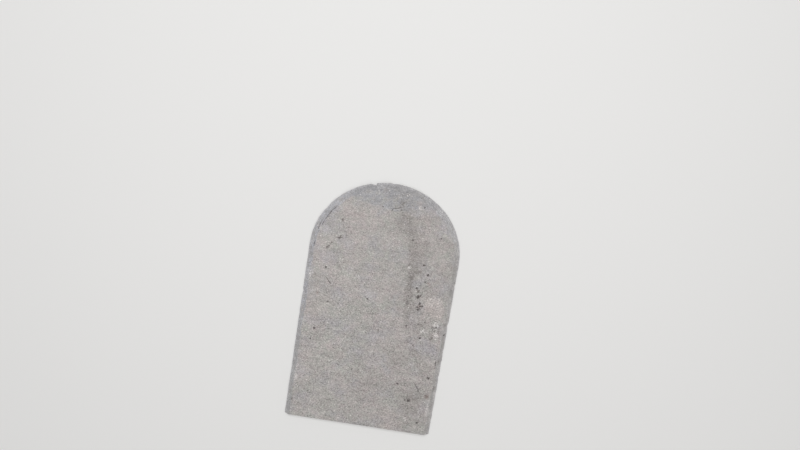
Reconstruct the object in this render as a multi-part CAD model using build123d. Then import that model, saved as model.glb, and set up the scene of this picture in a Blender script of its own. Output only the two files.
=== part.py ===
from build123d import *
import math
import os

# Round-tailed roofing slate: one piece of split stone, lying on its bed face. The head is sawn
# square. The two long sides and the half-round tail are dressed by knife, which breaks flakes off
# the upper arris and leaves a scalloped bevel above a thin upright land.
#
# Millimetres. The origin is the middle of the outline's box on the bed face, +Y runs from the head
# to the tail and +Z is up through the weather face.

# Split blank
length = 350.0
width = 200.0
thickness = 8.0

# Leaf that has come away over the tail: its inner edge is a flat arc that rises to both sides
leaf_depth = 0.3
leaf_width = 33.0
leaf_radius = 180.0

# Bevel: run is measured in from the outline, land is the upright edge that stays below it
bevel_run = 6.5
land_height = 2.0

# Large flakes: their spacing, the radius of their hollow and how deep it bites into the bevel
flake_pitch = 19.0
flake_radius = 34.0
flake_bite = 1.1
flake_bite_spread = 0.5
flake_drift = 0.3

# Small chips between the flakes, lower on the bevel, next to the land
chip_pitch = 11.0
chip_radius = 11.0
chip_bite = 0.7
chip_bite_spread = 0.35
chip_drop = 0.3

# Scoops on the tail's left shoulder, higher on the bevel, which widen it there
scoop_count = 5
scoop_pitch = 13.0
scoop_angle = 58.0
scoop_radius = 20.0
scoop_bite = 1.3
scoop_rise = 0.34

# V-shaped nick knocked right through the edge beside the top of the tail. It leans inwards.
nick_angle = 14.8
nick_long_side = 6.8
nick_short_side = 2.8
nick_depth = 2.6
nick_lean = 0.6

# Chips knocked out of the outline: place as a share of the dressed edge, opening and depth
knocked_chips = (
    (0.111, 8.0, 0.8),
    (0.206, 11.0, 1.5),
    (0.280, 7.0, 0.9),
    (0.497, 6.0, 0.7),
    (0.517, 6.0, 0.7),
    (0.802, 8.0, 0.9),
)

# Sawn head: arris broken on the weather face
head_arris = 0.6

tail_radius = width / 2
head_y = -length / 2
tail_y = length / 2
spring_y = tail_y - tail_radius
bevel_rise = thickness - land_height
golden = (math.sqrt(5) - 1) / 2

# Outline, counter-clockwise from the head's right corner
right_side = Line((width / 2, head_y), (width / 2, spring_y))
tail = ThreePointArc((width / 2, spring_y), (0, tail_y), (-width / 2, spring_y))
left_side = Line((-width / 2, spring_y), (-width / 2, head_y))
head = Line((-width / 2, head_y), (width / 2, head_y))
dressed_edge = Wire([right_side, tail, left_side])
outline = Wire([right_side, tail, left_side, head])


def spread(index, turn):
    """A fixed, evenly scattered value from -1 to 1."""
    return 2 * ((index * golden * turn + 0.37 * turn) % 1) - 1


def blank():
    """The split blank, flat and square-edged."""
    return extrude(Face(outline), amount=thickness, dir=(0, 0, 1))


def tail_leaf():
    """The disc that takes the leaf away between its flat arc and the tail's outline."""
    disc = Cylinder(leaf_radius, thickness, align=(Align.CENTER, Align.CENTER, Align.MIN))
    return Pos(0, tail_y - leaf_width + leaf_radius, thickness - leaf_depth) * disc


def rough_bevel(slate):
    """One even bevel on the upper arris of both sides and the tail."""
    weather_face = slate.faces().sort_by(Axis.Z)[-1]
    arrises = [edge for edge in weather_face.edges() if edge.center().Y > head_y + head_arris]
    return chamfer(arrises, length=bevel_run, length2=bevel_rise, reference=weather_face)


def outward_at(place):
    """The level direction square to the outline, away from the stone."""
    along = dressed_edge % place
    return Vector(along.Y, -along.X, 0)


def hollow(place, radius, bite, drop):
    """The ball that leaves one flake's hollow. Drop moves it down the slope from mid-bevel."""
    foot = dressed_edge @ place
    outward = outward_at(place)
    down_slope = (outward * bevel_run - Vector(0, 0, bevel_rise)).normalized()
    off_slope = (outward * bevel_rise + Vector(0, 0, bevel_run)).normalized()
    slope_length = math.hypot(bevel_run, bevel_rise)
    middle = foot - outward * (bevel_run / 2) + Vector(0, 0, land_height + bevel_rise / 2)
    centre = middle + down_slope * (slope_length * drop) + off_slope * (radius - bite)
    return Pos(centre) * Sphere(radius)


def flakes():
    """Large hollows that scallop the whole height of the bevel."""
    count = round(dressed_edge.length / flake_pitch)
    for index in range(count):
        place = (index + 0.5 + flake_drift * spread(index, 1)) / count
        bite = flake_bite + flake_bite_spread * spread(index, 2)
        yield hollow(place, flake_radius, bite, 0)


def chips():
    """Small hollows along the lower half of the bevel, some of which run out through the land."""
    count = round(dressed_edge.length / chip_pitch)
    for index in range(count):
        place = (index + 0.5 + flake_drift * spread(index, 3)) / count
        bite = chip_bite + chip_bite_spread * spread(index, 5)
        yield hollow(place, chip_radius, bite, chip_drop)


def tail_place(angle):
    """Share of the dressed edge at an angle left of the slate's axis, in degrees."""
    from_right = tail_radius * math.radians(90 + angle)
    return (right_side.length + from_right) / dressed_edge.length


def scoops():
    """Broad hollows that reach further in, over the tail's left shoulder."""
    first = tail_place(scoop_angle) - (scoop_count - 1) / 2 * scoop_pitch / dressed_edge.length
    for index in range(scoop_count):
        place = first + index * scoop_pitch / dressed_edge.length
        yield hollow(place, scoop_radius, scoop_bite, -scoop_rise)


def tail_nick():
    """A wedge with one long and one short side, set on the outline."""
    place = tail_place(nick_angle)
    outward = outward_at(place)
    left = dressed_edge % place
    tip = dressed_edge @ place - outward * nick_depth
    long_end = tip + (left * nick_long_side + outward * nick_depth) * 2
    short_end = tip + (outward * nick_depth - left * nick_short_side) * 2
    wedge = Face(Wire([Line(tip, short_end), Line(short_end, long_end), Line(long_end, tip)]))
    up = Vector(0, 0, thickness) - outward * nick_lean
    return extrude(wedge, amount=up.length, dir=up)


def knocked():
    """Shell-shaped chips out of the outline."""
    for place, opening, depth in knocked_chips:
        radius = (opening**2 / 4 + depth**2) / (2 * depth)
        centre = dressed_edge @ place + outward_at(place) * (radius - depth)
        yield Pos(centre + Vector(0, 0, land_height)) * Sphere(radius)


def broken_arris(slate):
    """A small chamfer along the head on the weather face."""
    weather_face = slate.faces().filter_by(Plane.XY).sort_by(Axis.Z)[-1]
    return chamfer(weather_face.edges().sort_by(Axis.Y)[0], length=head_arris)


def dressed(slate):
    slate = broken_arris(rough_bevel(slate)) - tail_leaf()
    for cut in flakes():
        slate -= cut
    for cut in chips():
        slate -= cut
    for cut in scoops():
        slate -= cut
    for cut in knocked():
        slate -= cut
    return slate - tail_nick()


slate = dressed(blank())

os.makedirs("parts", exist_ok=True)
export_step(slate, "parts/slate.step")
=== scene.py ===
import bmesh
import bpy
import math
from mathutils import Matrix, Vector, noise


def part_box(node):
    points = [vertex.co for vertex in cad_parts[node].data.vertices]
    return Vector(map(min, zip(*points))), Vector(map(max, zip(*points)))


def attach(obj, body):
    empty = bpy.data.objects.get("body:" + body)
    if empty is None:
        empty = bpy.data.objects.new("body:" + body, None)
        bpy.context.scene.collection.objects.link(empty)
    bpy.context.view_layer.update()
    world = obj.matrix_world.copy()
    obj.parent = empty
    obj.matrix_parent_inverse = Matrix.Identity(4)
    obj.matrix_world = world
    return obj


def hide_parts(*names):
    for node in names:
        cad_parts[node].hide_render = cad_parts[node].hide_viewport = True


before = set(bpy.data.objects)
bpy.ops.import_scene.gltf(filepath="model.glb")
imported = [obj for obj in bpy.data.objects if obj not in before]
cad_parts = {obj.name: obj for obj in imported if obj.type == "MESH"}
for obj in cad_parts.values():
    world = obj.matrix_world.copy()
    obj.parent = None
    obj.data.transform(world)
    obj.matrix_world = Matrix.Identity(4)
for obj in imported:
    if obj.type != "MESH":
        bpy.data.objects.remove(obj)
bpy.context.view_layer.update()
print("frame loaded")

# The slate is worked out in millimetres and brought to metres at the end
mm = 0.001
slateLow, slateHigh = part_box("slate")
halfWidth = slateHigh.x / mm
headY = slateLow.y / mm
tailY = slateHigh.y / mm
thickness = slateHigh.z / mm
springY = tailY - halfWidth  # where the straight sides meet the half-round tail
sideLength = springY - headY
dressedLength = 2 * sideLength + math.pi * halfWidth
leftSide = dressedLength - sideLength  # where the left side begins, along the dressed edge
golden = (math.sqrt(5) - 1) / 2
tiny = 1e-4

slate = {
    "columnStep": 0.8,  # mm between the mesh's columns along the dressed edge
    "bevelStep": 0.4,  # mm between its rows across the bevel
    "bevelZone": 10.0,
    "edgeStep": 1.0,
    "edgeZone": 14.0,  # mm from the outline to the plain grid of the faces
    "faceStep": 1.5,
    "bedStep": 3.0,
    "headStep": 1.4,
    "gridGap": 0.7,  # share of a step that is left between a grid and its rim
    "bedRows": (0.5, 1.5, 3.0, 5.0, 8.0, 11.0, 14.0),
    "wallRows": 3,
    "sharpAngle": 40.0,
    "land": 2.0,  # upright edge left under the bevel
    "leastLand": 0.7,
    "run": 6.5,  # how far the bevel reaches in
    "runSway": 0.7,
    "leftTrim": 0.9,  # how much less it reaches in along the left side
    "leftFrom": 55.0,  # mm along that side where the trim sets in
    "leftTo": 135.0,
    "shoulderRun": 1.8,  # extra on the tail's left shoulder
    "shoulderPlace": 505.0,  # mm along the dressed edge
    "shoulderWidth": 42.0,
    # Scars of flakes and chips: the two turns scatter their places and their bites
    "flake": {"pitch": 19.0, "radius": 34.0, "bite": 1.1, "spread": 0.5, "drop": 0.0, "turns": (1, 2)},
    "chip": {"pitch": 11.0, "radius": 11.0, "bite": 0.7, "spread": 0.35, "drop": 0.3, "turns": (3, 5)},
    "scarShift": 0.3,  # share of the pitch that a scar may stand off its place
    "scarReach": 15.0,  # mm of edge that a scar may take up to either side
    "scarStretch": 12.0,  # mm of edge that the scars are filed by
    "layer": 0.85,  # thickness of the leaves that the bevel lays open
    "layerShare": 0.75,
    "ragged": 0.5,
    "jagged": 0.22,
    "bevelCoarse": 0.2,
    "bevelFine": 0.13,
    "arris": 0.3,
    "wear": 0.3,
    "wearZone": 8.0,
    "notches": (  # mm along the edge, depth, and how far they reach before and after
        (433.0, 3.0, 1.6, 7.0),
        (221.0, 0.9, 3.0, 3.5),
        (163.0, 1.1, 5.0, 6.0),
        (409.0, 0.7, 2.5, 3.0),
        (396.0, 0.6, 3.0, 2.0),
        (508.0, 0.8, 5.0, 4.0),
        (632.0, 0.9, 3.0, 4.0),
        (86.0, 0.8, 4.0, 3.0),
    ),
    "faceDepth": 0.16,  # mm that the riven face lies in from the plate's own
    "faceSwell": 0.11,
    "faceRipple": 0.035,
    "bedDepth": 0.1,
    "bedSwell": 0.12,
    "bedChip": 0.4,
    "leafDepth": 0.3,  # the thin leaf that has come away along the tail
    "leafIn": 33.0,  # mm from the tail to the leaf's edge on the middle line
    "leafBow": 360.0,  # the larger, the flatter the edge's arc
    "leafWander": 4.0,
    "leafJag": 1.4,
    "leafSoft": 4.5,
    "crispBy": 3.9,  # how much less soft that edge is beside the middle
    "crispPlace": 6.0,
    "crispWidth": 10.0,
    "headZone": 2.5,  # mm within which the head's sawn arris is lightly broken
    "headChip": 0.35,
    "headSwing": 0.5,
    "headJag": 0.25,
    "headLeast": 0.12,
}


def ease(low, high, value):
    part = min(max((value - low) / (high - low), 0.0), 1.0)
    return part * part * (3 - 2 * part)


def scatter(index, turn):  # a fixed, evenly spread value from -1 to 1
    return 2 * ((index * golden * turn + 0.37 * turn) % 1) - 1


def noiseAt(x, y, seed, scale):
    return noise.noise(Vector((x, y, seed)) * scale)


def noiseAlong(along, wave, seed):
    return noise.noise(Vector((along / wave, seed, 0)))


def edgePlace(x, y):  # mm along the dressed edge from the head's right corner, and mm in from it
    if y > springY:
        angle = math.atan2(y - springY, x)
        return sideLength + angle * halfWidth, halfWidth - math.hypot(x, y - springY)
    if x > 0:
        return y - headY, halfWidth - x
    return dressedLength - (y - headY), halfWidth + x


def inwardFrom(x, y):
    if y > springY:
        return Vector((-x, springY - y, 0)).normalized()
    return Vector((-math.copysign(1, x), 0, 0))


def bevelRun(along):
    offset = (along - slate["shoulderPlace"]) / slate["shoulderWidth"]
    sway = slate["runSway"] * noiseAlong(along, 45, 1.7)
    trim = slate["leftTrim"] * ease(leftSide + slate["leftFrom"], leftSide + slate["leftTo"], along)
    return slate["run"] + slate["shoulderRun"] * math.exp(-offset * offset) + sway - trim


def hollow(place, radius, bite, drop):  # the ball that leaves one scar, in edge places
    run = bevelRun(place)
    rise = thickness - slate["land"]
    slope = math.hypot(run, rise)
    centreInset = run / 2 - run * drop - rise / slope * (radius - bite)
    centreHeight = slate["land"] + rise / 2 - rise * drop + run / slope * (radius - bite)
    return place, centreInset, centreHeight, radius


def fileScars():  # every scar, filed under the stretches of edge that it may reach
    filed = {}
    for scar in (slate["flake"], slate["chip"]):
        placeTurn, biteTurn = scar["turns"]
        count = round(dressedLength / scar["pitch"])
        for index in range(count):
            place = (index + 0.5 + slate["scarShift"] * scatter(index, placeTurn)) / count * dressedLength
            bite = scar["bite"] + scar["spread"] * scatter(index, biteTurn)
            first = int((place - slate["scarReach"]) // slate["scarStretch"])
            last = int((place + slate["scarReach"]) // slate["scarStretch"])
            for stretch in range(first, last + 1):
                filed.setdefault(stretch, []).append(hollow(place, scar["radius"], bite, scar["drop"]))
    return filed


scarsAt = fileScars()


def layered(height, x, y):  # turns a slope into the ragged leaves of split stone
    lift = slate["ragged"] * noiseAt(x, y, 2.0, 0.16)
    lift += slate["jagged"] * noiseAt(x, y, 9.0, 0.6)
    level = (height + lift) / slate["layer"]
    whole = math.floor(level)
    stepped = (whole + ease(0.3, 0.8, level - whole)) * slate["layer"] - lift
    return height + (stepped - height) * slate["layerShare"]


def tailBand(x, y):  # 1 where the leaf has come away along the tail, 0 on the rest of the face
    edge = tailY - slate["leafIn"] + x * x / slate["leafBow"]
    edge += slate["leafWander"] * noiseAt(x, y, 4.0, 0.06) + slate["leafJag"] * noiseAt(x, y, 6.0, 0.25)
    offset = (x - slate["crispPlace"]) / slate["crispWidth"]
    soft = slate["leafSoft"] - slate["crispBy"] * math.exp(-offset ** 2)
    return ease(-soft, soft, y - edge)


def headChip(x, y):  # mm that the upper arris of the head has lost
    chip = slate["headChip"] + slate["headSwing"] * noise.noise(Vector((x * 0.22, 1.0, 0.0)))
    chip += slate["headJag"] * noiseAt(x, y, 0, 0.9)
    return max(chip, slate["headLeast"]) * (1 - ease(0.0, 0.5 + max(chip, 0.0) * 2, y - headY))


def weatherHeight(x, y, along, inset):  # height of the upper surface, and how much of it is dressed
    relief = slate["faceDepth"] + slate["faceSwell"] * noise.fractal(Vector((x, y, 0)) * 0.017, 1.0, 2.0, 3)
    relief += slate["faceRipple"] * noiseAt(x, y * 0.6, 5.0, 0.13)
    relief += slate["leafDepth"] * tailBand(x, y)
    if y - headY < slate["headZone"]:
        relief += headChip(x, y)
    face = thickness - max(relief, 0.0)
    if inset > slate["edgeZone"]:
        return face, 0.0
    bevel = slate["land"] + (thickness - slate["land"]) * inset / bevelRun(along)
    for place, centreInset, centreHeight, radius in scarsAt.get(int(along // slate["scarStretch"]), ()):
        gap = radius ** 2 - (along - place) ** 2 - (inset - centreInset) ** 2
        if gap > 0:
            bevel = min(bevel, centreHeight - math.sqrt(gap))
    bevel = layered(bevel, x, y)
    bevel += slate["bevelFine"] * noiseAt(x, y, 0, 1.1) + slate["bevelCoarse"] * noiseAt(x, y, 0, 0.35)
    bevel = max(bevel, slate["leastLand"])
    height = (face + bevel - math.hypot(face - bevel, slate["arris"])) / 2
    return height, ease(-0.3, 0.5, face - bevel)


def bedHeight(x, y, inset):
    relief = slate["bedDepth"] + slate["bedSwell"] * noise.fractal(Vector((x, y, 30.0)) * 0.02, 1.0, 2.0, 3)
    chip = slate["bedChip"] * max(noiseAt(x, y, 40.0, 0.2), 0.0) * (1 - ease(0.0, 3.0, inset))
    return max(relief, 0.0) + chip


def outlineWear(along):  # how far the outline has lost stone
    wear = 0.5 + 0.5 * noiseAlong(along, 17, 3.1)
    wear += 0.3 * noiseAlong(along, 5, 7.7) + 0.15 * noiseAlong(along, 1.9, 5.2)
    wear = max(wear * slate["wear"], 0.0)
    for place, depth, before, after in slate["notches"]:
        offset = along - place
        reach = before if offset < 0 else after
        wear += depth * max(1 - abs(offset) / reach, 0.0)
    return wear


def addRow(bm, edges, inset, rise):  # extrudes the last row of edges inwards and up
    made = bmesh.ops.extrude_edge_only(bm, edges=edges)["geom"]
    fresh = {item for item in made if isinstance(item, bmesh.types.BMVert)}
    for vert in fresh:
        vert.co += inwardFrom(vert.co.x, vert.co.y) * inset + Vector((0, 0, rise))
    return [item for item in made if isinstance(item, bmesh.types.BMEdge) and set(item.verts) <= fresh]


def closeAlongHead(bm, row, step):  # joins the two ends of a row along the head
    ends = [vert for edge in row for vert in edge.verts if abs(vert.co.y - headY) < tiny]
    across = bm.edges.new(ends)
    cuts = round(across.calc_length() / step) - 1
    split = bmesh.ops.subdivide_edges(bm, edges=[across], cuts=cuts)
    pieces = split["geom_inner"] + split["geom_split"]
    return row + list({item for item in pieces if isinstance(item, bmesh.types.BMEdge)})


def fillFlat(bm, rim, centre, size, step, turned, keep, normal):  # a square grid, sewn to its rim
    across, down = (round(length / step) for length in size)
    place = Matrix.Translation(centre) @ turned @ Matrix.Diagonal((size[0], size[1], 1, 1))
    grid = bmesh.ops.create_grid(bm, x_segments=across, y_segments=down, size=0.5, matrix=place)
    verts = grid["verts"]
    dropped = {vert for vert in verts if not keep(vert.co)}
    kept = [vert for vert in verts if vert not in dropped]
    bmesh.ops.delete(bm, geom=list(dropped), context="VERTS")
    loose = {vert for vert in kept if not vert.link_faces}
    kept = [vert for vert in kept if vert not in loose]
    bmesh.ops.delete(bm, geom=list(loose), context="VERTS")
    edges = {edge for vert in kept for edge in vert.link_edges}
    bmesh.ops.delete(bm, geom=[edge for edge in edges if edge.is_wire], context="EDGES")
    border = {edge for vert in kept for edge in vert.link_edges if edge.is_boundary}
    bmesh.ops.triangle_fill(bm, use_beauty=True, use_dissolve=False, edges=rim + list(border), normal=normal)


def sawnBlank():  # the square-edged plate, meshed finely where the knife will work
    bm = bmesh.new()
    start = bm.verts.new((halfWidth, headY, 0))
    spring = bm.verts.new((halfWidth, springY, 0))
    sides = [bm.edges.new((start, spring))]
    steps = round(math.pi * halfWidth / slate["columnStep"])
    turn = bmesh.ops.spin(
        bm, geom=[spring], cent=(0, springY, 0), axis=(0, 0, 1), angle=math.pi, steps=steps
    )
    last = [item for item in turn["geom_last"] if isinstance(item, bmesh.types.BMVert)][0]
    sides.append(bm.edges.new((last, bm.verts.new((-halfWidth, headY, 0)))))
    bmesh.ops.subdivide_edges(bm, edges=sides, cuts=round(sideLength / slate["columnStep"]) - 1)
    foot = bm.edges[:]
    row, reached = foot, 0.0
    for inset in slate["bedRows"]:
        row = addRow(bm, row, inset - reached, 0)
        reached = inset
    bedRim = closeAlongHead(bm, row, slate["bedStep"])
    row = foot
    for level in range(slate["wallRows"]):
        row = addRow(bm, row, 0, thickness / slate["wallRows"])
    for index in range(round(slate["bevelZone"] / slate["bevelStep"])):
        row = addRow(bm, row, slate["bevelStep"], 0)
    for index in range(round((slate["edgeZone"] - slate["bevelZone"]) / slate["edgeStep"])):
        row = addRow(bm, row, slate["edgeStep"], 0)
    weatherRim = closeAlongHead(bm, row, slate["faceStep"])
    span = (2 * halfWidth, tailY - headY)
    for rim, step, height, normal in (
        (weatherRim, slate["faceStep"], thickness, (0, 0, 1)),
        (bedRim, slate["bedStep"], 0, (0, 0, -1)),
    ):
        gap = slate["gridGap"] * step

        def keep(co, gap=gap):
            return edgePlace(co.x, co.y)[1] > slate["edgeZone"] + gap and co.y > headY + gap

        fillFlat(bm, rim, (0, 0, height), span, step, Matrix.Identity(4), keep, normal)
    headRim = [edge for edge in bm.edges if edge.is_boundary]
    step = slate["headStep"]
    upright = Matrix.Rotation(math.pi / 2, 4, "X")
    fillFlat(
        bm, headRim, (0, headY, thickness / 2), (2 * halfWidth, thickness), step, upright,
        lambda co: abs(co.x) < halfWidth - step and step / 2 < co.z < thickness - step / 2, (0, -1, 0),
    )
    for face in bm.faces:
        if all(abs(vert.co.y - headY) < tiny for vert in face.verts):
            face.material_index = 1
    return bm


def dress(bm):  # gives the plate its dressed edge, split faces and sawn head
    dressed = bm.verts.layers.float.new("dressedEdge")
    band = bm.verts.layers.float.new("tailBand")
    rim = bm.verts.layers.float.new("rim")
    for vert in bm.verts:
        x, y, z = vert.co
        along, inset = edgePlace(x, y)
        share = z / thickness
        weather, mask = weatherHeight(x, y, along, inset)
        height = bedHeight(x, y, inset) * (1 - share) + weather * share
        vert[dressed] = max(mask, 1 - ease(0.0, 0.8, inset))
        vert[band] = tailBand(x, y) * ease(0.5, 0.9, share)
        # rim marks a painted highlight: the outer 2 mm of the edge above its foot, all round but the head
        vert[rim] = (1 - ease(0.4, 2.0, inset)) * ease(0.02, 0.3, share) if y > headY + 1 else 0.0
        if inset < slate["wearZone"]:
            torn = max(0.3 * noise.noise(Vector((along / 3, height / 0.5, 11.0))) + 0.1, 0.0)
            torn = torn * (1 - ease(0.0, 1.2, inset)) * ease(0.0, 0.6, height)
            loss = outlineWear(along) * (1 - ease(0.0, slate["wearZone"], inset)) + torn
            vert.co += inwardFrom(x, y) * loss
        if abs(y - headY) < tiny:
            vert.co.y += 0.06 + 0.05 * noise.noise(Vector((x * 0.12, height * 0.9, 3.0)))
        vert.co.z = height


def makeSlate():
    bm = sawnBlank()
    print("blank:", len(bm.faces), "faces, open edges", sum(1 for edge in bm.edges if not edge.is_manifold))
    dress(bm)
    bmesh.ops.scale(bm, vec=(mm, mm, mm), verts=bm.verts)
    bmesh.ops.recalc_face_normals(bm, faces=bm.faces)
    for face in bm.faces:
        face.smooth = True
    mesh = bpy.data.meshes.new("roofingSlate")
    bm.to_mesh(mesh)
    bm.free()
    mesh.set_sharp_from_angle(angle=math.radians(slate["sharpAngle"]))
    piece = bpy.data.objects.new("roofingSlate", mesh)
    bpy.context.collection.objects.link(piece)
    return piece


# Shader helpers
def addNode(tree, kind, inputs=None, **settings):
    node = tree.nodes.new(kind)
    node.location = (len(tree.nodes) % 12 * 190, len(tree.nodes) // 12 * -260)
    for name, value in settings.items():
        setattr(node, name, value)
    for socket, value in (inputs or {}).items():
        if isinstance(value, bpy.types.NodeSocket):
            tree.links.new(value, node.inputs[socket])
        else:
            node.inputs[socket].default_value = value
    return node


def mathValue(tree, operation, first, second=0.0):
    return addNode(tree, "ShaderNodeMath", {0: first, 1: second}, operation=operation).outputs[0]


def times(tree, *factors):
    product = factors[0]
    for factor in factors[1:]:
        product = mathValue(tree, "MULTIPLY", product, factor)
    return product


def vectorMath(tree, operation, first, second):
    return addNode(tree, "ShaderNodeVectorMath", {0: first, 1: second}, operation=operation).outputs[0]


def mapped(tree, vector, scale=(1, 1, 1), degrees=(0, 0, 0), shift=(0, 0, 0)):
    turn = [math.radians(angle) for angle in degrees]
    inputs = {"Vector": vector, "Location": shift, "Rotation": turn, "Scale": scale}
    return addNode(tree, "ShaderNodeMapping", inputs).outputs[0]


def rangeMap(tree, value, low, high, toLow=0.0, toHigh=1.0, smooth=True):
    inputs = {"Value": value, "From Min": low, "From Max": high, "To Min": toLow, "To Max": toHigh}
    kind = "SMOOTHSTEP" if smooth else "LINEAR"
    return addNode(tree, "ShaderNodeMapRange", inputs, interpolation_type=kind).outputs[0]


def noiseValue(tree, vector, scale, detail=3.0, rough=0.5, distortion=0.0):
    inputs = {"Vector": vector, "Scale": scale, "Detail": detail, "Roughness": rough}
    inputs["Distortion"] = distortion
    return addNode(tree, "ShaderNodeTexNoise", inputs).outputs[0]


def cloudy(tree, vector, scale, low, high, toLow=0.0, toHigh=1.0, detail=4.0, rough=0.7):  # a patchy mask
    return rangeMap(tree, noiseValue(tree, vector, scale, detail, rough), low, high, toLow, toHigh)


def swayOf(tree, vector, scale, reach):  # a level shift that wanders by up to half of reach, in mm
    inputs = {"Vector": vector, "Scale": scale, "Detail": 3.0}
    swirl = addNode(tree, "ShaderNodeTexNoise", inputs).outputs["Color"]
    centred = vectorMath(tree, "SUBTRACT", swirl, (0.5, 0.5, 0.5))
    return vectorMath(tree, "MULTIPLY", centred, (reach, reach, 0))


def mixColour(tree, factor, first, second, blend="MIX"):
    inputs = {"Factor": factor, 6: first, 7: second}
    return addNode(tree, "ShaderNodeMix", inputs, data_type="RGBA", blend_type=blend).outputs[2]


def newGroup(name, inputs, outputs):
    group = bpy.data.node_groups.new(name, "ShaderNodeTree")
    for label, kind, value in inputs:
        socket = group.interface.new_socket(label, in_out="INPUT", socket_type=kind)
        socket.default_value = value
    for label, kind in outputs:
        group.interface.new_socket(label, in_out="OUTPUT", socket_type=kind)
    return group, group.nodes.new("NodeGroupInput").outputs, group.nodes.new("NodeGroupOutput").inputs


def stoneGrainGroup():  # mineral grain: a shade around 1, a height, and masks for pale and dark specks
    group, given, gives = newGroup(
        "stoneGrain",
        [("Vector", "NodeSocketVector", (0, 0, 0)), ("Contrast", "NodeSocketFloat", 1.0)],
        [
            ("Shade", "NodeSocketFloat"), ("Height", "NodeSocketFloat"),
            ("Pale", "NodeSocketFloat"), ("Dark", "NodeSocketFloat"),
        ],
    )
    drawn = mapped(group, given["Vector"], (0.6, 1.15, 1.3), (0, 0, -14))
    coarse = noiseValue(group, drawn, 0.06, 4.0, 0.72)
    medium = noiseValue(group, drawn, 0.85, 3.0, 0.75)
    fine = noiseValue(group, drawn, 1.7, 3.0, 0.7)
    grains = mathValue(group, "ADD", times(group, coarse, 0.12), times(group, medium, 0.53))
    grains = mathValue(group, "ADD", grains, times(group, fine, 0.35))
    swing = times(group, mathValue(group, "SUBTRACT", grains, 0.5), given["Contrast"])
    group.links.new(mathValue(group, "ADD", swing, 1.0), gives["Shade"])
    group.links.new(grains, gives["Height"])
    cells = addNode(group, "ShaderNodeTexVoronoi", {"Vector": given["Vector"], "Scale": 0.3}).outputs
    chance = addNode(group, "ShaderNodeSeparateColor", {0: cells["Color"]}).outputs
    dot = rangeMap(group, cells["Distance"], 0.34, 0.16)
    group.links.new(times(group, dot, rangeMap(group, chance[0], 0.6, 0.9)), gives["Pale"])
    group.links.new(times(group, dot, rangeMap(group, chance[1], 0.72, 0.95)), gives["Dark"])
    return group


def leavesGroup():  # thin parallel leaves of the stone, seen where it is broken or sawn across
    group, given, gives = newGroup(
        "leaves", [("Vector", "NodeSocketVector", (0, 0, 0))], [("Value", "NodeSocketFloat")]
    )
    stretched = mapped(group, given["Vector"], (0.07, 0.07, 2.6))
    group.links.new(noiseValue(group, stretched, 1.0, 4.0, 0.65, 0.4), gives["Value"])
    return group


grain = stoneGrainGroup()
leaves = leavesGroup()

# Marks on the weather face, painted highlights and painted shadows among them, in mm from the middle of the
# slate: from x, y to x, y, radius, strength
pitsAndNotchShadow = (
    (54, 71, 55, 72, 1.0, 0.6), (61, 58, 62, 59, 1.0, 0.95), (59, 48, 59, 48, 0.9, 0.7),
    (50, 38, 50, 38, 1.1, 0.9), (53, 34, 53, 33, 1.5, 0.45), (53, 25, 54, 26, 1.5, 1.0),
    (56, 27, 57, 28, 0.8, 0.6), (57, 16, 57, 16, 0.9, 0.8), (58, 13, 59, 13, 0.8, 0.7),
    (61, 14, 61, 13, 0.9, 0.7), (56, 8, 56, 8, 0.9, 0.85), (55, 11, 54, 11, 0.9, 0.8),
    (58, 9, 59, 9, 0.8, 0.6), (52, 3, 52, 4, 0.8, 0.5), (-13, 12, -13, 12, 0.9, 0.9),
    (-74, 47, -74, 48, 1.0, 0.7), (-65, -1, -65, -1, 1.0, 0.9), (-77, -42, -77, -41, 1.1, 0.75),
    (65, -33, 66, -33, 1.0, 0.8), (68, -9, 68, -9, 0.9, 0.5), (60, -13, 60, -13, 0.9, 0.5),
    (44, -17, 45, -20, 0.9, 0.6), (56, -43, 59, -46, 0.6, 0.65), (46, -104, 47, -105, 1.0, 0.85),
    (64, -127, 66, -127, 1.2, 0.9), (60, -126, 60, -127, 0.9, 0.7), (72, -121, 73, -120, 0.6, 0.4),
    (85, -89, 86, -90, 1.0, 0.7), (81, -158, 81, -158, 1.0, 0.9), (33, 104, 35, 104, 1.0, 0.5),
    (32, 89, 32, 89, 0.8, 0.45), (42, 151, 42, 152, 0.9, 0.55), (-12, 144, -12, 144, 0.8, 0.45),
    # the pit at x 97, y -24 is a painted shadow in a notch of the edge
    (12, 142, 13, 143, 1.0, 0.4), (97, -24, 97, -25, 1.0, 0.8), (-80, -58, -80, -58, 0.9, 0.7),
    (70, 112, 70, 112, 0.8, 0.5), (-62, 92, -61, 92, 0.7, 0.5), (-62, 117, -61, 118, 0.8, 0.35),
    (-77, 75, -77, 77, 0.55, 0.6), (-75, 79, -74, 78, 0.55, 0.55), (-74, 76, -75, 75, 0.5, 0.55),
    (-72, 82, -70, 84, 0.5, 0.45), (-38, -89, -38, -89, 0.8, 0.55), (7, -66, 8, -66, 0.8, 0.5),
    (-19, -93, -18, -93, 0.7, 0.5), (-48, -66, -48, -66, 0.6, 0.45), (75, -109, 76, -111, 0.9, 0.6),
    (86, -118, 87, -117, 0.9, 0.3), (40, 18, 40, 12, 0.9, 0.4), (63, -23, 63, -23, 0.7, 0.45),
    (84, -14, 85, -15, 0.8, 0.6),
)
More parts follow.
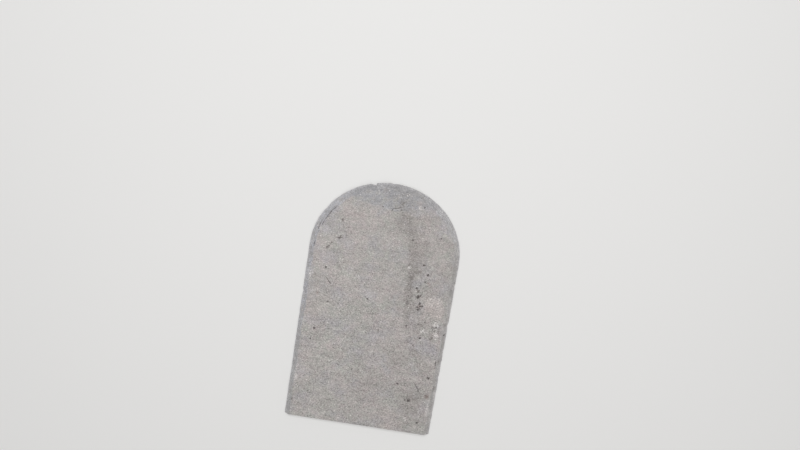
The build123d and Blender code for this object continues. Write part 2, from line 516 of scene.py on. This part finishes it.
# the lines at the leaf's edge by the tail (x 0 to 15, y 139 to 147) and along the inner side of the spall on
# the left (x -88 to -71, y 103 to 134) are painted shadow at a step
linesAndStepShadows = (
    (-72, 34, -67, 28, 0.4, 1.5), (-69, 30, -64, 25, 0.5, 1.6), (0, 139, 2, 144, 0.35, 1.2),
    (1, 143, 8, 145, 0.4, 1.2), (5, 144, 15, 147, 0.35, 1.2), (-88, 103, -84, 115, 0.4, 0.85),
    (-85, 112, -79, 124, 0.4, 0.9), (-81, 120, -76, 129, 0.4, 0.85), (-78, 126, -71, 134, 0.4, 0.8),
    (-66, 91, -57, 93, 0.4, 1.0), (-63, 89, -60, 96, 0.4, 1.0), (-93, 84, -94, 73, 0.4, 0.8),
    (92, -58, 92, -76, 0.4, 1.0), (66, -96, 77, -111, 0.35, 1.0), (-14, -10, 8, -7, 0.35, 0.7),
    (-92, 96, -90, 106, 0.35, 0.85), (-91, 102, -88, 112, 0.35, 0.85),
)
smudgesAndNotchShadows = (
    (-67, 91, -57, 93, 0.8, 1.1), (-63, 88, -60, 96, 0.8, 1.1), (-77, 75, -74, 79, 1.2, 1.1),
    (-74, 80, -70, 85, 0.8, 1.1), (-62, 115, -60, 117, 1.0, 1.1), (39, 50, 41, 52, 2.0, 0.8),
    (45, 61, 46, 59, 1.8, 0.8), (51, 62, 51, 60, 1.5, 0.75), (11, 148, 16, 156, 1.2, 0.8),
    (15, 141, 18, 131, 1.2, 0.4), (60, -124, 79, -122, 4.0, 0.35), (56, -47, 60, -57, 5.0, 0.3),
    (55, 6, 59, 15, 3.5, 0.4), (28, 124, 33, 112, 6.0, 0.12), (70, 112, 70, 112, 1.2, 0.35),
    (79, -14, 83, -20, 1.8, 0.8), (82, -26, 80, -34, 1.8, 0.8), (88, -13, 88, -22, 1.3, 0.8),
    (8, -31, 9, -32, 1.5, 0.7), (18, 21, 20, 19, 1.3, 0.6), (25, -13, 27, -14, 1.4, 0.6),
    (35, 71, 35, 68, 1.2, 0.9), (46, 62, 48, 60, 1.4, 0.9), (61, -13, 66, -16, 2.6, 0.35),
    (48, -39, 51, -42, 2.4, 0.3), (-93, -149, -93, -152, 1.6, 0.7), (62, -126, 67, -125, 1.5, 0.9),
    # the four smudges at x 95 to 97, from y 44 down to y -108, are painted shadows in the edge's notches
    (85, -88, 88, -89, 1.2, 0.8), (96, -6, 97, -16, 1.3, 0.7), (96, -60, 97, -72, 1.1, 0.7),
    (95, -100, 96, -108, 1.1, 0.7), (96, 44, 97, 35, 1.1, 0.6), (15, 161, 17, 167, 0.9, 0.35),
    (10, 151, 12, 156, 2.5, 0.25), (92, -60, 92, -75, 0.7, 0.35), (48, 22, 49, 4, 3.0, 0.3),
    (66, -20, 80, -26, 4.0, 0.25), (30, 20, 33, -16, 2.0, 0.15),
)
rustSpots = (
    (63, 49, 67, 44, 1.4, 0.15), (-80, 6, -80, 12, 1.6, 0.2), (87, -117, 88, -117, 2.6, 0.35),
    (54, 25, 56, 27, 2.6, 0.1), (51, 37, 53, 32, 2.2, 0.1), (-77, -42, -77, -41, 1.7, 0.2),
    (54, 71, 55, 72, 2.0, 0.1), (57, 12, 58, 14, 3.5, 0.1),
)
paleFlecksAndArrisHighlights = (
    (66, -22, 74, -23, 2.0, 1.0), (83, -8, 85, -18, 2.6, 1.0), (85, -22, 87, -33, 2.6, 0.8),
    (66, -34, 72, -36, 1.8, 0.4), (-21, -16, -21, -17, 1.2, 0.9), (36, 64, 36, 66, 2.0, 0.6),
    (66, -81, 69, -81, 2.2, 0.6), (70, -120, 74, -119, 1.8, 0.6), (63, -154, 66, -157, 1.8, 0.6),
    # the flecks along x -92 from y -95 to -130 and along x 92 from y -110 to -160 are painted highlights on
    # the arris between bevel and face
    (20, 164, 21, 165, 1.6, 0.9), (-93, 37, -93, 36, 1.4, 0.9), (-92, -95, -93, -130, 1.8, 0.75),
    (92, -110, 92, -160, 1.5, 0.55), (37, 149, 37, 150, 1.6, 0.7), (-20, 160, -20, 164, 1.6, 0.6),
    (68, 24, 84, 22, 8.0, 0.3), (-93, 96, -88, 108, 2.4, 0.5), (-30, 40, -28, 42, 3.0, 0.35),
    (-95, 48, -93, 22, 2.2, 0.6), (-99, 9, -96, 5, 0.8, 0.8), (-98, -19, -95, -23, 0.8, 0.7),
)

# Broad tints of the stone, in the same form; the last pale cloud only makes the face paler by the head,
# right of the middle
pinkPatches = (
    (72, 30, 84, 12, 9.0, 0.9), (76, 20, 84, 2, 7.0, 0.9), (-84, -20, -80, -56, 7.0, 0.3),
    (-50, 58, -30, 62, 8.0, 0.5), (26, 138, 44, 134, 6.0, 0.8), (-56, 132, -26, 120, 8.0, 0.6),
    (88, 100, 92, 128, 5.0, 0.7), (66, 78, 90, 70, 6.0, 0.6), (-84, -62, -80, -90, 7.0, 0.5),
    (-56, -62, -34, -78, 7.0, 0.5), (-40, -108, -20, -126, 9.0, 0.4),
)
olivePatches = (
    (-58, 60, -50, 58, 7.0, 0.6), (5, 56, 30, 44, 9.0, 0.7), (-40, -4, -14, -22, 8.0, 0.6),
    (-78, 34, -72, -20, 10.0, 0.7), (-66, -104, -44, -158, 13.0, 0.7), (24, 126, 40, 118, 8.0, 0.8),
    (-86, -152, -60, -158, 6.0, 0.6), (50, 20, 56, -4, 8.0, 0.5),
)
umberPatches = (
    (42, 122, 47, 52, 9.0, 0.8), (30, 108, 36, 88, 7.0, 0.6), (58, -112, 78, -150, 13.0, 0.6),
    (30, -40, 42, -84, 10.0, 0.5), (72, -62, 84, -84, 7.0, 0.5), (-84, 36, -84, 24, 5.0, 0.6),
    (-8, -94, 22, -112, 12.0, 0.6), (58, -12, 60, -32, 7.0, 0.5), (18, 134, 26, 112, 8.0, 0.8),
    (-82, -8, -80, -24, 5.0, 0.5), (70, -104, 78, -128, 9.0, 0.5),
)
violetPatches = (
    (68, -36, 90, -58, 8.0, 0.7), (-58, -116, -22, -128, 9.0, 0.2), (-62, 18, -42, 4, 8.0, 0.4),
    (-95, 28, -94, 62, 4.0, 0.6), (-95, 58, -93, 90, 4.0, 0.4), (62, 146, 86, 116, 5.0, 0.9),
    (-91, 92, -80, 120, 4.0, 0.9), (-82, 122, -66, 138, 3.5, 0.7), (24, 150, 40, 142, 5.0, 0.7),
)
paleClouds = (
    (70, 26, 80, 10, 9.0, 0.7), (78, 8, 82, 0, 6.0, 0.5), (40, -153, 50, -168, 10.0, 0.9),
)


def marksMask(tree, vector, marks):  # one round or drawn-out spot per mark, the strongest showing
    total = None
    for x, y, endX, endY, radius, strength in marks:
        stroke = Vector((endX - x, endY - y))
        spot = addNode(tree, "ShaderNodeTexGradient", {"Vector": vector}, gradient_type="SPHERICAL")
        placing = spot.texture_mapping
        placing.vector_type = "TEXTURE"
        depth = 0.85 - 0.5 * strength  # a weak mark lies deeper, so less of it shows
        placing.translation = ((x + endX) / 2, (y + endY) / 2, depth)
        placing.rotation = (0, 0, math.atan2(stroke.y, stroke.x) if stroke.length else 0)
        placing.scale = (2.2 * radius + stroke.length / 2, 2.2 * radius, 1)
        shown = spot.outputs["Fac"]
        total = shown if total is None else mathValue(tree, "MAXIMUM", total, shown)
    return rangeMap(tree, total, 0.0, 0.5)


def startMaterial(name):
    material = bpy.data.materials.new(name)
    material.use_nodes = True
    tree = material.node_tree
    shader = tree.nodes["Principled BSDF"]
    coordinate = addNode(tree, "ShaderNodeTexCoord").outputs["Object"]
    inMm = mapped(tree, coordinate, (1000, 1000, 1000))
    return material, tree, shader, inMm


def shadeStone(tree, shader, colour, tone):  # tone is how light the stone is, around 1
    shade = addNode(tree, "ShaderNodeCombineColor", {0: tone, 1: tone, 2: tone}).outputs[0]
    tree.links.new(mixColour(tree, 1.0, colour, shade, "MULTIPLY"), shader.inputs["Base Color"])


def cutStone(tree, shader, height):
    bump = addNode(tree, "ShaderNodeBump", {"Height": height, "Distance": mm, "Strength": 0.8}).outputs[0]
    tree.links.new(bump, shader.inputs["Normal"])


faceLook = {
    "pink": (0.4, 0.36, 0.351, 1),
    "olive": (0.365, 0.36, 0.335, 1),
    "lavender": (0.362, 0.345, 0.36, 1),
    "rose": (0.43, 0.375, 0.362, 1),
    "moss": (0.352, 0.336, 0.315, 1),
    "umber": (0.3, 0.272, 0.258, 1),
    "mauve": (0.39, 0.372, 0.4, 1),
    "cloud": (0.48, 0.425, 0.405, 1),
    "blue": (0.318, 0.314, 0.325, 1),
    # the pit and smudge colours also paint the shadows in notches and at steps
    "pitAndShadow": (0.07, 0.06, 0.058, 1),
    "smudgeAndShadow": (0.2, 0.182, 0.172, 1),
    "rust": (0.2, 0.138, 0.12, 1),
    "pale": (0.74, 0.71, 0.69, 1),
    "brokenCool": (0.505, 0.51, 0.548, 1),
    "brokenLow": (0.475, 0.478, 0.48, 1),
    # painted light for the broken stone on the tail's right shoulder
    "shoulderPaintedLight": (0.63, 0.625, 0.635, 1),
    "brokenWarm": (0.575, 0.552, 0.535, 1),
    "brokenDark": (0.4, 0.391, 0.398, 1),
    # painted highlight colour for the outline's rim
    "rim": (0.52, 0.51, 0.525, 1),
    "grain": 5.0,
    "tailGrain": 0.8,  # share of the grain that is left at the tail
    "roughness": 0.74,
    "rippleTone": (0.94, 1.06),
    "paintedFalloffTone": (1.055, 0.945),  # painted light falloff: a little darker from the left to the right and toward the head
    "seamUpper": (165.0, 90.0, 15.0, 37.0),  # mm: from y to y a dark seam goes from x to x
    "seamLower": (90.0, -20.0, 0.0, 7.0),  # and from y to y farther over by so much
    "seamReach": (60.0, 110.0, 6.5, 12.0),  # how far it reaches to either side, by y
    "seamWander": 15.0,
    "seamTail": (172.0, 150.0),  # from y to y it fades in beside the tail
    "seamThin": (75.0, 50.0, 0.42, 1.0),  # from y to y its strength goes from here to there
    "seamFoot": (-30.0, -8.0),  # between these two it fades out toward the head
    "lavenderShare": 0.6,  # the shares say how strongly a tint is laid on
    "roseShare": 0.45,
    "mossShare": 0.5,
    "mauveShare": 0.6,
    "umberShare": 0.6,
    "seamShare": 0.8,
    "rimHighlightShare": 0.75,
    "lineShare": 0.7,
    "smudgeAndShadowShare": 0.85,
    "paleGrainShare": 0.42,
    "darkGrainShare": 0.35,
}


def seamMask(tree, vector, look):  # the dark seam that wanders down the right of the face
    parts = addNode(tree, "ShaderNodeSeparateXYZ", {0: vector}).outputs
    upperLine = rangeMap(tree, parts[1], *look["seamUpper"])
    lowerLine = rangeMap(tree, parts[1], *look["seamLower"], False)
    wander = mathValue(tree, "SUBTRACT", noiseValue(tree, vector, 0.08, 4.0, 0.65), 0.5)
    wander = times(tree, wander, look["seamWander"])
    offset = mathValue(tree, "SUBTRACT", parts[0], mathValue(tree, "ADD", upperLine, lowerLine))
    offset = mathValue(tree, "SUBTRACT", offset, wander)
    reach = rangeMap(tree, parts[1], *look["seamReach"])
    width = mathValue(tree, "DIVIDE", mathValue(tree, "ABSOLUTE", offset), reach)
    width = rangeMap(tree, width, 1.2, 0.2)
    foot = rangeMap(tree, parts[1], *look["seamFoot"])
    thin = rangeMap(tree, parts[1], *look["seamThin"])
    tail = rangeMap(tree, parts[1], *look["seamTail"])
    broken = cloudy(tree, vector, 0.4, 0.42, 0.6, 0.15, 1.15, rough=0.8)
    shown = times(tree, width, foot, tail)
    return times(tree, shown, times(tree, thin, broken))


def bodyColour(tree, inMm, wavy, look):  # the stone's own tints and their broad patches
    broad = cloudy(tree, inMm, 0.028, 0.38, 0.62, detail=3.0, rough=0.6)
    near = cloudy(tree, inMm, 0.13, 0.35, 0.65, detail=2.0, rough=0.6)
    warm = mathValue(tree, "ADD", times(tree, broad, 0.45), times(tree, near, 0.55))
    colour = mixColour(tree, warm, look["olive"], look["pink"])
    violet = cloudy(tree, mapped(tree, inMm, shift=(310, 70, 0)), 0.04, 0.46, 0.66, detail=5.0)
    colour = mixColour(tree, times(tree, violet, look["lavenderShare"]), colour, look["lavender"])
    softly = cloudy(tree, inMm, 0.12, 0.3, 0.65, 0.3, 1.0)
    for patches, tint in (
        (pinkPatches, "rose"), (olivePatches, "moss"), (violetPatches, "mauve"), (umberPatches, "umber"),
    ):
        patch = times(tree, marksMask(tree, wavy, patches), times(tree, softly, look[tint + "Share"]))
        colour = mixColour(tree, patch, colour, look[tint])
    cloud = times(tree, marksMask(tree, wavy, paleClouds), rangeMap(tree, softly, 0.3, 1.0, 0.4, 0.6, False))
    return mixColour(tree, cloud, colour, look["cloud"])


def brokenColour(tree, places, leaf, look):  # where the knife has broken the edge, by place along it, with painted light on the tail's right shoulder
    split = mixColour(tree, rangeMap(tree, places[1], 0.0, -90.0), look["brokenCool"], look["brokenLow"])
    split = mixColour(tree, rangeMap(tree, places[0], -70.0, 50.0), split, look["brokenWarm"])
    # painted light: the broken stone on the tail's right shoulder is made paler
    shoulder = times(tree, rangeMap(tree, places[0], 20.0, 50.0), rangeMap(tree, places[1], 90.0, 125.0))
    split = mixColour(tree, shoulder, split, look["shoulderPaintedLight"])
    return mixColour(tree, rangeMap(tree, leaf, 0.38, 0.54), look["brokenDark"], split)


def markedColour(tree, colour, inMm, level, onWeather, stone, look):  # pits, lines, stains and specks, with painted highlights on the arris and painted shadows in notches and at steps
    shifted = swayOf(tree, inMm, 0.6, 5)
    place = vectorMath(tree, "ADD", level, shifted)
    straighter = vectorMath(tree, "ADD", level, vectorMath(tree, "MULTIPLY", shifted, (0.3, 0.3, 0)))
    patchy = times(tree, onWeather, cloudy(tree, inMm, 0.5, 0.34, 0.54, detail=3.0))
    pitAndShadow = times(tree, marksMask(tree, place, pitsAndNotchShadow), onWeather)
    lineAndStepShadow = times(tree, marksMask(tree, straighter, linesAndStepShadows), times(tree, onWeather, look["lineShare"]))
    smudgeAndShadow = times(tree, marksMask(tree, place, smudgesAndNotchShadows), patchy)
    rust = times(tree, marksMask(tree, place, rustSpots), onWeather)
    flecked = cloudy(tree, inMm, 0.6, 0.5, 0.57, rough=0.75)
    pale = times(tree, marksMask(tree, place, paleFlecksAndArrisHighlights), times(tree, flecked, onWeather))
    # smudges, with the painted shadows in the edge's notches
    colour = mixColour(tree, times(tree, smudgeAndShadow, look["smudgeAndShadowShare"]), colour, look["smudgeAndShadow"])
    colour = mixColour(tree, rust, colour, look["rust"])
    colour = mixColour(tree, pale, colour, look["pale"])
    colour = mixColour(tree, times(tree, stone["Pale"], look["paleGrainShare"]), colour, look["pale"])
    colour = mixColour(tree, times(tree, stone["Dark"], look["darkGrainShare"]), colour, look["smudgeAndShadow"])
    # pits and dark lines, with the painted shadows in notches and at steps
    return mixColour(tree, mathValue(tree, "MAXIMUM", pitAndShadow, lineAndStepShadow), colour, look["pitAndShadow"])


def splitStone():
    look = faceLook
    material, tree, shader, inMm = startMaterial("splitStone")
    dressed, band, rim = (
        addNode(tree, "ShaderNodeAttribute", attribute_name=name).outputs["Fac"]
        for name in ("dressedEdge", "tailBand", "rim")
    )
    calm = mathValue(tree, "MAXIMUM", times(tree, band, 0.1), times(tree, dressed, 0.2))
    places = addNode(tree, "ShaderNodeSeparateXYZ", {0: inMm}).outputs
    contrast = rangeMap(tree, places[1], -60.0, 110.0, look["grain"], look["grain"] * look["tailGrain"])
    contrast = times(tree, contrast, mathValue(tree, "SUBTRACT", 1.0, calm))
    grained = {"Vector": inMm, "Contrast": contrast}
    stone = addNode(tree, "ShaderNodeGroup", grained, node_tree=grain).outputs
    sway = swayOf(tree, inMm, 0.09, 30)
    level = vectorMath(tree, "MULTIPLY", inMm, (1, 1, 0))
    colour = bodyColour(tree, inMm, vectorMath(tree, "ADD", level, sway), look)
    ripple = noiseValue(tree, mapped(tree, inMm, (0.035, 0.2, 0.2), (0, 0, -12)), 1.0, 4.0, 0.6, 0.3)
    cool = times(tree, band, cloudy(tree, inMm, 0.12, 0.34, 0.6, 0.25, 1.0))
    cool = times(tree, cool, rangeMap(tree, places[0], 25.0, 60.0, 1.0, 0.6))
    colour = mixColour(tree, cool, colour, look["blue"])
    onWeather = rangeMap(tree, places[2], thickness * 0.3, thickness * 0.6)
    seam = times(tree, seamMask(tree, inMm, look), look["seamShare"], onWeather)
    colour = mixColour(tree, seam, colour, look["smudgeAndShadow"])
    leaf = addNode(tree, "ShaderNodeGroup", {"Vector": inMm}, node_tree=leaves).outputs["Value"]
    fresh = brokenColour(tree, places, leaf, look)
    fresh = mixColour(tree, times(tree, cool, 0.5), fresh, look["blue"])
    freshness = cloudy(tree, inMm, 0.11, 0.38, 0.6, 0.3, 0.9)
    colour = mixColour(tree, times(tree, dressed, freshness), colour, fresh)
    # painted highlight: the stone is made paler along the outline
    rimHighlight = times(tree, rim, cloudy(tree, inMm, 0.16, 0.35, 0.6, 0.25, 1.0))
    colour = mixColour(tree, times(tree, rimHighlight, look["rimHighlightShare"]), colour, look["rim"])
    colour = markedColour(tree, colour, inMm, level, onWeather, stone, look)
    tone = times(tree, stone["Shade"], rangeMap(tree, ripple, 0.3, 0.7, *look["rippleTone"], False))
    # painted shade: the tone falls off to the right and toward the head, as light from a lamp would
    paintedFalloff = mathValue(tree, "SUBTRACT", places[0], times(tree, places[1], 0.25))
    tone = times(tree, tone, rangeMap(tree, paintedFalloff, -100.0, 100.0, *look["paintedFalloffTone"], False))
    shadeStone(tree, shader, colour, tone)
    least, most = look["roughness"] - 0.08, look["roughness"] + 0.1
    tree.links.new(rangeMap(tree, stone["Height"], 0.3, 0.7, least, most, False), shader.inputs["Roughness"])
    broken = times(tree, leaf, dressed, 1.6)
    cut = mathValue(tree, "ADD", times(tree, stone["Height"], 0.5), broken)
    cutStone(tree, shader, mathValue(tree, "ADD", cut, times(tree, ripple, 0.5)))
    return material


headLook = {
    "pale": (0.47, 0.455, 0.44, 1),
    "dark": (0.37, 0.36, 0.352, 1),
    "grain": 1.4,
    "roughness": 0.78,
    "sawLean": 24.0,  # degrees that the saw's marks lean
}


def sawnStone():
    look = headLook
    material, tree, shader, inMm = startMaterial("sawnStone")
    leaf = addNode(tree, "ShaderNodeGroup", {"Vector": inMm}, node_tree=leaves).outputs["Value"]
    colour = mixColour(tree, rangeMap(tree, leaf, 0.35, 0.65), look["dark"], look["pale"])
    saw = noiseValue(tree, mapped(tree, inMm, (1.6, 1, 0.05), (0, look["sawLean"], 0)), 1.0, 3.0, 0.6)
    grained = {"Vector": inMm, "Contrast": look["grain"]}
    stone = addNode(tree, "ShaderNodeGroup", grained, node_tree=grain).outputs
    tone = times(tree, stone["Shade"], rangeMap(tree, saw, 0.3, 0.7, 0.93, 1.06, False))
    shadeStone(tree, shader, colour, tone)
    least, most = look["roughness"] - 0.08, look["roughness"] + 0.08
    tree.links.new(rangeMap(tree, saw, 0.3, 0.7, least, most, False), shader.inputs["Roughness"])
    cut = mathValue(tree, "ADD", times(tree, saw, 0.25), times(tree, stone["Height"], 0.1))
    cutStone(tree, shader, cut)
    return material


stage = {
    "floorSize": 12.0,
    "floor": (0.78, 0.775, 0.765, 1),
    "floorRoughness": 0.9,
    "sky": (0.86, 0.86, 0.86, 1),
    "skyStrength": 0.49,
    "skySeen": 0.9,  # its strength to the camera and in reflections
    "keyFrom": (-0.1, 0.8, 1.6),
    "keyPower": 16.1,
    "keySize": 0.9,
    "fillFrom": (0.8, -2.6, 2.6),
    "fillPower": 29.5,
    "fillSize": 2.0,
}


def makeStage():
    bm = bmesh.new()
    bmesh.ops.create_grid(bm, x_segments=1, y_segments=1, size=stage["floorSize"] / 2)
    mesh = bpy.data.meshes.new("floor")
    bm.to_mesh(mesh)
    bm.free()
    floor = bpy.data.objects.new("floor", mesh)
    bpy.context.collection.objects.link(floor)
    material = bpy.data.materials.new("paleFloor")
    material.use_nodes = True
    shader = material.node_tree.nodes["Principled BSDF"]
    shader.inputs["Base Color"].default_value = stage["floor"]
    shader.inputs["Roughness"].default_value = stage["floorRoughness"]
    mesh.materials.append(material)
    world = bpy.data.worlds.new("softDaylight")
    bpy.context.scene.world = world
    world.use_nodes = True
    tree = world.node_tree
    light = tree.nodes["Background"]
    light.inputs["Color"].default_value = stage["sky"]
    rays = addNode(tree, "ShaderNodeLightPath").outputs
    mirrored = mathValue(tree, "MAXIMUM", rays["Is Glossy Ray"], rays["Is Transmission Ray"])
    seen = mathValue(tree, "MAXIMUM", rays["Is Camera Ray"], mirrored)
    strength = rangeMap(tree, seen, 0.0, 1.0, stage["skyStrength"], stage["skySeen"], False)
    tree.links.new(strength, light.inputs["Strength"])


def addLamp(name):
    data = bpy.data.lights.new(name + "Lamp", "AREA")
    data.energy = stage[name + "Power"]
    data.size = stage[name + "Size"]
    lamp = bpy.data.objects.new(name + "Lamp", data)
    lamp.location = stage[name + "From"]
    lamp.rotation_euler = (-Vector(stage[name + "From"])).to_track_quat("-Z", "Y").to_euler()
    bpy.context.collection.objects.link(lamp)


camera = {
    "place": (-38.9, 823.7, 1986.6),  # mm
    "aim": (9.2, 152.4, 8.0),
    "lean": 9.46,  # degrees that the slate's axis leans in the picture
    "lens": 72.0,
    "sensor": 36.0,
    "lift": 22 / 800,  # share of the picture's width that the slate is raised by
    "farthest": 50.0,  # metres
}


def makeCamera():
    data = bpy.data.cameras.new("camera")
    data.lens = camera["lens"]
    data.sensor_width = camera["sensor"]
    data.shift_y = -camera["lift"]
    data.clip_end = camera["farthest"]
    seer = bpy.data.objects.new("camera", data)
    place = Vector(camera["place"]) * mm
    back = (place - Vector(camera["aim"]) * mm).normalized()
    across = Matrix.Rotation(math.radians(camera["lean"]), 3, "Z") @ Vector((1, 0, 0))
    across = (across - back * across.dot(back)).normalized()
    up = back.cross(across)
    turn = Matrix((across, up, back)).transposed()
    seer.matrix_world = Matrix.Translation(place) @ turn.to_4x4()
    bpy.context.collection.objects.link(seer)
    bpy.context.scene.camera = seer


makeCamera()
makeStage()
addLamp("key")
addLamp("fill")
bpy.context.scene.view_settings.view_transform = "Standard"
print("camera and stage made")

slatePiece = makeSlate()
slatePiece.data.materials.append(splitStone())
slatePiece.data.materials.append(sawnStone())
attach(slatePiece, "root")
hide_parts("slate")
print("slate made:", len(slatePiece.data.polygons), "faces")
